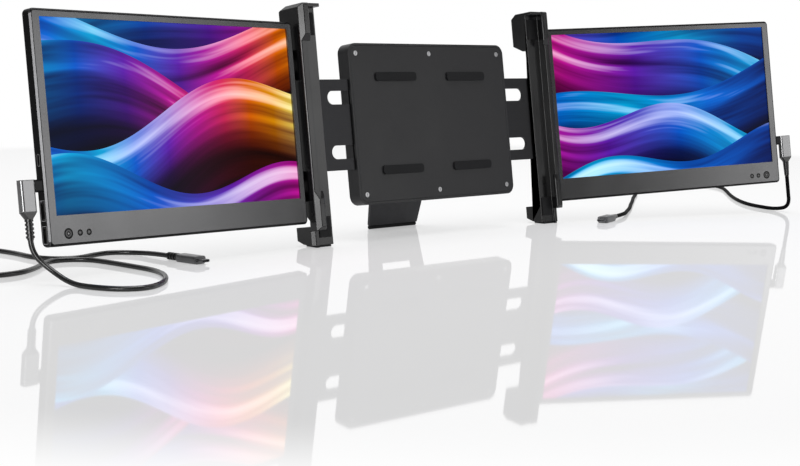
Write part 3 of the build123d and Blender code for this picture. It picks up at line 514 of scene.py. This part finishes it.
# %% [markdown]
# The first wave lies at the back. Each next one covers those behind it below its own crest. The
# brightest streaks turn a little white, and only the panel's front gives light.

# %% The lit screens
SCREEN_X = (0.0040, 0.2603)
SCREEN_Z = (0.0382, 0.1824)
PANEL_FACE = -0.0039
PANEL_SKIN = 0.0002
BEHIND_HUE = 0.1
BEHIND_LIGHT = 0.05
GLINT_FROM = 0.72
GLINT_GAIN = 0.9
DIMMING = (1.0, 1.4, 1.05)


def lit_screen(side):
    finish, tree, shader = new_finish(f"{side}_screen")
    own = own_coordinates(tree, side)
    wide = SCREEN_X[1] - SCREEN_X[0]
    tall = SCREEN_Z[1] - SCREEN_Z[0]
    across = sum_up(tree, "DIVIDE", sum_up(tree, "SUBTRACT", SCREEN_X[1], own[0]), wide)
    up = sum_up(tree, "DIVIDE", sum_up(tree, "SUBTRACT", own[2], SCREEN_Z[0]), tall)
    hue, bright = BEHIND_HUE, BEHIND_LIGHT
    for seed, (*shape, outer_hue, inner_hue) in enumerate(WAVES[side]):
        below, wave_light = silk_wave(tree, across, up, 3.7 * seed, *shape)
        inside = sum_up(tree, "GREATER_THAN", below, 0.0)
        outside = sum_up(tree, "SUBTRACT", 1.0, inside)
        wave_hue = sum_up(tree, "MULTIPLY_ADD", across, inner_hue - outer_hue, outer_hue)
        old_hue = sum_up(tree, "MULTIPLY", outside, hue)
        hue = sum_up(tree, "MULTIPLY_ADD", inside, wave_hue, old_hue)
        old_light = sum_up(tree, "MULTIPLY", outside, bright)
        bright = sum_up(tree, "MULTIPLY_ADD", inside, wave_light, old_light)
    colours = colour_band(tree, hue, PALETTE)
    excess = sum_up(tree, "MAXIMUM", sum_up(tree, "SUBTRACT", bright, GLINT_FROM), 0.0)
    glint = sum_up(tree, "MULTIPLY", excess, GLINT_GAIN)
    dimming = add(tree, "ShaderNodeCombineXYZ")
    for channel, power in enumerate(DIMMING):
        tree.links.new(sum_up(tree, "POWER", bright, power), dimming.inputs[channel])
    silk = add(tree, "ShaderNodeVectorMath", operation="MULTIPLY")
    tree.links.new(colours, silk.inputs[0])
    tree.links.new(dimming.outputs[0], silk.inputs[1])
    tree.links.new(blend_colours(tree, glint, silk.outputs[0], (1.0, 1.0, 1.0)),
                   shader.inputs["Emission Color"])
    tree.links.new(sum_up(tree, "LESS_THAN", own[1], PANEL_FACE + PANEL_SKIN),
                   shader.inputs["Emission Strength"])
    shader.inputs["Base Color"].default_value = (0.001, 0.001, 0.001, 1)
    shader.inputs["Roughness"].default_value = 0.15
    shader.inputs["Specular IOR Level"].default_value = 0.06
    roughen(tree, shader, noise(tree, 4000, 1), 0.03, 0.00002)
    return finish


for side in ("left", "right"):
    dress(lit_screen(side), f"{side}_display_panel")
print("screens lit")

# %% [markdown]
# ## Buttons
# Each button is a dark round cap with a small pale mark. The small ones have a paler middle, and
# the power button a pale ring. All is drawn by distance from the button's middle, so one recipe
# serves all six.

# %% The buttons
BUTTON_Z = 0.0248
BUTTONS = {
    "power_button": (0.2510, 0.0040),
    "menu_button": (0.2405, 0.0024),
    "select_button": (0.2323, 0.0024),
}
SMALL_RINGS = [(0.0, 0.40), (0.18, 0.30), (0.28, 0.13), (0.52, 0.12), (0.58, 0.004),
               (1.0, 0.003)]
POWER_RINGS = [(0.0, 0.60), (0.14, 0.50), (0.20, 0.006), (0.40, 0.004), (0.46, 0.17),
               (0.64, 0.15), (0.70, 0.004), (1.0, 0.003)]


def button_cap(side, kind):
    finish, tree, shader = new_finish(f"{side}_{kind}")
    own = own_coordinates(tree, side)
    across, radius = BUTTONS[kind]
    dx = sum_up(tree, "SUBTRACT", own[0], across)
    dz = sum_up(tree, "SUBTRACT", own[2], BUTTON_Z)
    squares = sum_up(tree, "MULTIPLY_ADD", dx, dx, sum_up(tree, "MULTIPLY", dz, dz))
    away = sum_up(tree, "DIVIDE", sum_up(tree, "SQRT", squares), radius)
    greys = POWER_RINGS if kind == "power_button" else SMALL_RINGS
    rings = colour_band(tree, away, [(place, (grey, grey, grey)) for place, grey in greys])
    tree.links.new(rings, shader.inputs["Base Color"])
    tree.links.new(between(tree, noise(tree, 1500, 2), 0.32, 0.45), shader.inputs["Roughness"])
    shader.inputs["Specular IOR Level"].default_value = 0.25
    return finish


for side in ("left", "right"):
    for kind in BUTTONS:
        dress(button_cap(side, kind), f"{side}_{kind}")
print("six buttons dressed")

# %% [markdown]
# ## Rubber and cable jacket
# Soles, pads and boots are black rubber. The two leads are of different makes: the left one has a
# glossy jacket that shows a thin bright line, and the right one a matt jacket.

# %% Rubber
rubber = moulded("black_rubber", (0.010, 0.010, 0.011), 0.62, 0.5, 0.0002, 0.3)
boot_rubber = moulded("boot_rubber", (0.007, 0.007, 0.0075), 0.24, 0.05, 0.0, 0.85)
glossy_jacket = moulded("glossy_jacket", (0.007, 0.007, 0.0075), 0.26, 0.05, 0.0, 0.85)
matt_jacket = moulded("matt_jacket", (0.005, 0.005, 0.0055), 0.50, 0.15, 0.0, 0.10)
matt_jacket.node_tree.nodes["Principled BSDF"].inputs["IOR"].default_value = 1.15
dress(rubber, "lid_pads", "kickstand_foot", *both("grip_pads", "foot_pad"))
dress(boot_rubber, *both("plug_boot", "far_boot"))
left_cable.data.materials.append(glossy_jacket)
right_cable.data.materials.append(matt_jacket)
print("rubber and jackets dressed")

# %% [markdown]
# ## Metals
# Hinges, slides and the kickstand are steel or aluminium sheet. Brushed sheet shows fine lines
# along one direction: noise that is stretched along X does this. The noise also moves the colour
# and the roughness, because a scratch is darker and duller than the metal between.

# %% Brushed and satin metal


def metal(name, colour, roughness, lines=(1, 40, 40), relief=0.2):
    finish, tree, shader = new_finish(name)
    streaks = noise(tree, 60, 5, 0.7, lines)
    darker = tuple(c * 0.78 for c in colour)
    tree.links.new(blend_colours(tree, between(tree, streaks, 0.0, 1.0), darker, colour),
                   shader.inputs["Base Color"])
    tree.links.new(between(tree, streaks, roughness - 0.06, roughness + 0.08),
                   shader.inputs["Roughness"])
    shader.inputs["Metallic"].default_value = 1.0
    roughen(tree, shader, streaks, relief, 0.00004)
    return finish


steel = metal("bright_steel", (0.56, 0.56, 0.57), 0.30)
dark_steel = metal("dark_steel", (0.055, 0.055, 0.058), 0.38)
# The hinge leaves are darkened to near-black: painted shade for the dark gap between each monitor
# and its grip.
shaded_hinge_black = metal("shaded_hinge_black", (0.022, 0.022, 0.023), 0.42)
stand_metal = metal("stand_metal", (0.100, 0.100, 0.105), 0.45, (1, 1, 1), 0.3)
rail_metal = metal("rail_metal", (0.60, 0.61, 0.63), 0.33)
dress(steel, "housing_screws", "kickstand_pin",
      *both("bracket_screws", "slide_spring", "board_screws", "hinge_pins"))
dress(dark_steel, *both("slide_plate"))
dress(shaded_hinge_black, *both("hinge_frame_leaves", "hinge_monitor_leaves"))
dress(stand_metal, "kickstand_plate")
dress(rail_metal, "upper_guide_rail", "lower_guide_rail")
print("metals dressed")

# %% [markdown]
# ## Sockets
# A socket is a shell of bright steel round a dark tongue with a row of contacts. The gold contacts
# are
# painted a dull, dark warm grey: a painted shade for how deep they lie. The shader knows the tongue
# as the thin layer in the middle of the monitor's depth. Each kind of socket has half a tongue's
# thickness and the contacts' pitch.

# %% The sockets
MIDDLE_DEPTH = -0.0005
TONGUE_END = 0.2675
SOCKETS = {
    "usb_c": ("usb_c_sockets", 0.00037, 0.0005),
    "hdmi": ("hdmi_socket", 0.00048, 0.0010),
    "usb_a": ("usb_a_socket", 0.00072, 0.0025),
}


def socket_finish(side, kind, half_tongue, pitch):
    finish, tree, shader = new_finish(f"{side}_{kind}_finish")
    own = own_coordinates(tree, side)
    off = sum_up(tree, "ABSOLUTE", sum_up(tree, "SUBTRACT", own[1], MIDDLE_DEPTH))
    thin = sum_up(tree, "LESS_THAN", off, half_tongue)
    inner = sum_up(tree, "LESS_THAN", own[0], TONGUE_END)
    tongue = sum_up(tree, "MULTIPLY", thin, inner)
    along = sum_up(tree, "FRACT", sum_up(tree, "DIVIDE", own[2], pitch))
    stripe = sum_up(tree, "GREATER_THAN", along, 0.5)
    # The contacts' dull dark grey is painted shade for their depth inside the socket.
    shaded_contacts = blend_colours(tree, stripe, (0.004, 0.004, 0.004), (0.06, 0.055, 0.045))
    speckle = between(tree, noise(tree, 700, 2), 0.0, 1.0)
    shell = blend_colours(tree, speckle, (0.62, 0.62, 0.63), (0.74, 0.74, 0.75))
    tree.links.new(blend_colours(tree, tongue, shell, shaded_contacts), shader.inputs["Base Color"])
    gap = sum_up(tree, "MULTIPLY", tongue, sum_up(tree, "SUBTRACT", 1.0, stripe))
    tree.links.new(sum_up(tree, "SUBTRACT", 1.0, gap), shader.inputs["Metallic"])
    shader.inputs["Roughness"].default_value = 0.30
    return finish


for side in ("left", "right"):
    for kind, (part, half_tongue, pitch) in SOCKETS.items():
        dress(socket_finish(side, kind, half_tongue, pitch), f"{side}_{part}")
print("sockets dressed")

# %% [markdown]
# ## The circuit board
# The board is glass fibre under green lacquer. It shows only through the vents in the case.

# %% The circuit board
board, board_tree, board_shader = new_finish("board_green")
tracks = between(board_tree, noise(board_tree, 700, 2), 0.0, 1.0)
board_tree.links.new(blend_colours(board_tree, tracks, (0.01, 0.10, 0.04), (0.02, 0.18, 0.07)),
                     board_shader.inputs["Base Color"])
board_shader.inputs["Roughness"].default_value = 0.35
dress(board, *both("main_board"))
print("boards dressed")

# %% [markdown]
# ## The plugs
# An angled plug is one part in the frame, so its black collar and its metal tip are told from its
# grey body by their distance from the monitor. The body is satin metal with drawn grain, and a
# Bevel node gives its corners the bright line of a polished edge.

# %% The angled plugs
COLLAR = 0.0065
COLLAR_END = OUTER_EDGE + COLLAR
PLUG_CORNER = 0.0009


def plug_finish(side):
    finish, tree, shader = new_finish(f"{side}_plug_finish")
    own = own_coordinates(tree, side)
    body = sum_up(tree, "GREATER_THAN", own[0], COLLAR_END)
    tip = sum_up(tree, "LESS_THAN", own[0], OUTER_EDGE)
    grain = noise(tree, 900, 4, 0.6, (1, 1, 12))
    satin = blend_colours(tree, between(tree, grain, 0.0, 1.0),
                          (0.29, 0.29, 0.295), (0.36, 0.36, 0.365))
    coloured = blend_colours(tree, body, (0.013, 0.013, 0.014), satin)
    coloured = blend_colours(tree, tip, coloured, (0.6, 0.6, 0.6))
    tree.links.new(coloured, shader.inputs["Base Color"])
    tree.links.new(sum_up(tree, "MAXIMUM", body, tip), shader.inputs["Metallic"])
    tree.links.new(between(tree, grain, 0.22, 0.27), shader.inputs["Roughness"])
    shader.inputs["Specular IOR Level"].default_value = 0.2
    bump = roughen(tree, shader, grain, 0.04, 0.00004)
    rounded = add(tree, "ShaderNodeBevel", samples=8)
    rounded.inputs["Radius"].default_value = PLUG_CORNER
    tree.links.new(rounded.outputs[0], bump.inputs["Normal"])
    return finish


for side in ("left", "right"):
    dress(plug_finish(side), f"{side}_angled_plug")
print("angled plugs dressed")

# %% [markdown]
# The plug on the far end of each lead lies on the desk, and its grain runs round it.

# %% The far plugs
satin_grey = metal("plug_satin_grey", (0.26, 0.26, 0.265), 0.36, (12, 1, 1), 0.15)
dress(satin_grey, *both("far_plug"))
print("far plugs dressed")

# %% [markdown]
# ## The floor
# The product stands on a pale glossy sheet that mirrors it softly. The sheet mirrors more at a low
# angle than from above, as any polished sheet does. Its white comes from its own colour toward
# the camera, not from more light on the product, and far out it goes over into plain white.

# %% The floor
FLOOR_SIZE = 14
FLOOR_GLOW = 0.73
GLOW_FOR_MIRRORS = 0.35
MIRROR_ROUGHNESS = 0.03
MIRROR_SHARE = (0.02, 0.43)
WHITE_MIDDLE = (0.206, 0.218, 0.0)
WHITE_FROM, WHITE_TO = 1.00, 1.13


def mixed(tree, factor, first, second):
    node = add(tree, "ShaderNodeMixShader")
    for socket, source in zip(node.inputs, (factor, first, second)):
        tree.links.new(source, socket)
    return node.outputs[0]


bpy.ops.mesh.primitive_plane_add(size=FLOOR_SIZE, location=(0, 0, 0))
floor = bpy.context.object
floor.name = "floor"
floor_finish, floor_tree, floor_shader = new_finish("pale_floor")
floor_shader.inputs["Base Color"].default_value = (0.60, 0.60, 0.605, 1)
floor_shader.inputs["Roughness"].default_value = 0.60
floor_shader.inputs["Specular IOR Level"].default_value = 0.0
rays = add(floor_tree, "ShaderNodeLightPath")
seen = sum_up(floor_tree, "MULTIPLY", rays.outputs["Is Glossy Ray"], GLOW_FOR_MIRRORS)
for ray in ("Is Camera Ray", "Is Transmission Ray"):
    seen = sum_up(floor_tree, "MAXIMUM", seen, rays.outputs[ray])
glow = add(floor_tree, "ShaderNodeEmission")
floor_tree.links.new(sum_up(floor_tree, "MULTIPLY", seen, FLOOR_GLOW), glow.inputs["Strength"])
matt = add(floor_tree, "ShaderNodeAddShader")
floor_tree.links.new(floor_shader.outputs[0], matt.inputs[0])
floor_tree.links.new(glow.outputs[0], matt.inputs[1])
mirror = add(floor_tree, "ShaderNodeBsdfGlossy")
mirror.inputs["Roughness"].default_value = MIRROR_ROUGHNESS
facing = add(floor_tree, "ShaderNodeLayerWeight").outputs["Facing"]
grazing = graded(floor_tree, facing, 0.30, 0.70, *MIRROR_SHARE)
polished = mixed(floor_tree, grazing, matt.outputs[0], mirror.outputs[0])
away = add(floor_tree, "ShaderNodeVectorMath", operation="DISTANCE")
floor_tree.links.new(add(floor_tree, "ShaderNodeTexCoord").outputs["Object"], away.inputs[0])
away.inputs[1].default_value = WHITE_MIDDLE
fade = graded(floor_tree, away.outputs["Value"], WHITE_FROM, WHITE_TO, 0.0, 1.0, "SMOOTHSTEP")
white = add(floor_tree, "ShaderNodeEmission")
floor_tree.links.new(seen, white.inputs["Strength"])
surface = mixed(floor_tree, fade, polished, white.outputs[0])
floor_tree.links.new(surface, floor_tree.nodes["Material Output"].inputs["Surface"])
floor.data.materials.append(floor_finish)
print("floor of", FLOOR_SIZE, "m")

# %% [markdown]
# ## The world
# A white backdrop stands behind the product, and the studio on the other sides is dim. The camera
# sees plain white all round. What the product mirrors depends on the direction: bright toward
# the backdrop, and dim elsewhere.

# %% The world
BACKDROP = (0.686, 0.727, 0.0)
STUDIO_LEVELS = (0.14, 0.80)
world = bpy.data.worlds.new("studio")
bpy.context.scene.world = world
world.use_nodes = True
sky = world.node_tree
sky_rays = add(sky, "ShaderNodeLightPath").outputs
sky_seen = sum_up(sky, "MAXIMUM", sky_rays["Is Camera Ray"], sky_rays["Is Transmission Ray"])
toward = add(sky, "ShaderNodeVectorMath", operation="DOT_PRODUCT")
sky.links.new(add(sky, "ShaderNodeTexCoord").outputs["Generated"], toward.inputs[0])
toward.inputs[1].default_value = BACKDROP
backdrop = graded(sky, toward.outputs["Value"], 0.35, 0.60, *STUDIO_LEVELS, "SMOOTHSTEP")
background = sky.nodes["Background"]
background.inputs["Color"].default_value = (1, 1, 1, 1)
sky.links.new(sum_up(sky, "MAXIMUM", sky_seen, backdrop), background.inputs["Strength"])
print("world lit from", BACKDROP)

# %% [markdown]
# ## The lamps
# Two large, dim soft boxes stand low in front, where the bezels and the cables mirror them, and one
# hangs above. The floor would mirror a low soft box as a white rectangle, so the floor is left out
# of the light of these two.

# %% The lamps


def soft_lamp(name, place, aim, power, size):
    lamp = bpy.data.lights.new(name, "AREA")
    lamp.energy = power
    lamp.shape = "RECTANGLE"
    lamp.size, lamp.size_y = size
    holder = bpy.data.objects.new(name, lamp)
    holder.location = place
    holder.rotation_euler = (Vector(aim) - Vector(place)).to_track_quat("-Z", "Y").to_euler()
    bpy.context.scene.collection.objects.link(holder)
    print(name, "at", place, power, "W")
    return holder


def spare_the_floor(holder):
    lit = bpy.data.collections.new(f"{holder.name}_receivers")
    lit.objects.link(floor)
    lit.collection_objects[0].light_linking.link_state = "EXCLUDE"
    holder.light_linking.receiver_collection = lit


front_lamp = soft_lamp("front_lamp", (1.325, -1.892, 0.49), (0, 0, 0.1), 3.7, (1.07, 0.78))
left_lamp = soft_lamp("left_lamp", (-2.65, -1.47, 0.53), (-0.15, 0, 0.1), 25.0, (1.64, 0.7))
soft_lamp("top_lamp", (0.1, 0.0, 2.2), (0, 0, 0.0), 34, (2.2, 1.6))
spare_the_floor(front_lamp)
spare_the_floor(left_lamp)

# %% [markdown]
# ## Finish
# The view transform stays plain, so that a colour renders about as it was chosen.

# %% Finish
bpy.context.scene.view_settings.view_transform = "Standard"
bpy.context.view_layer.update()
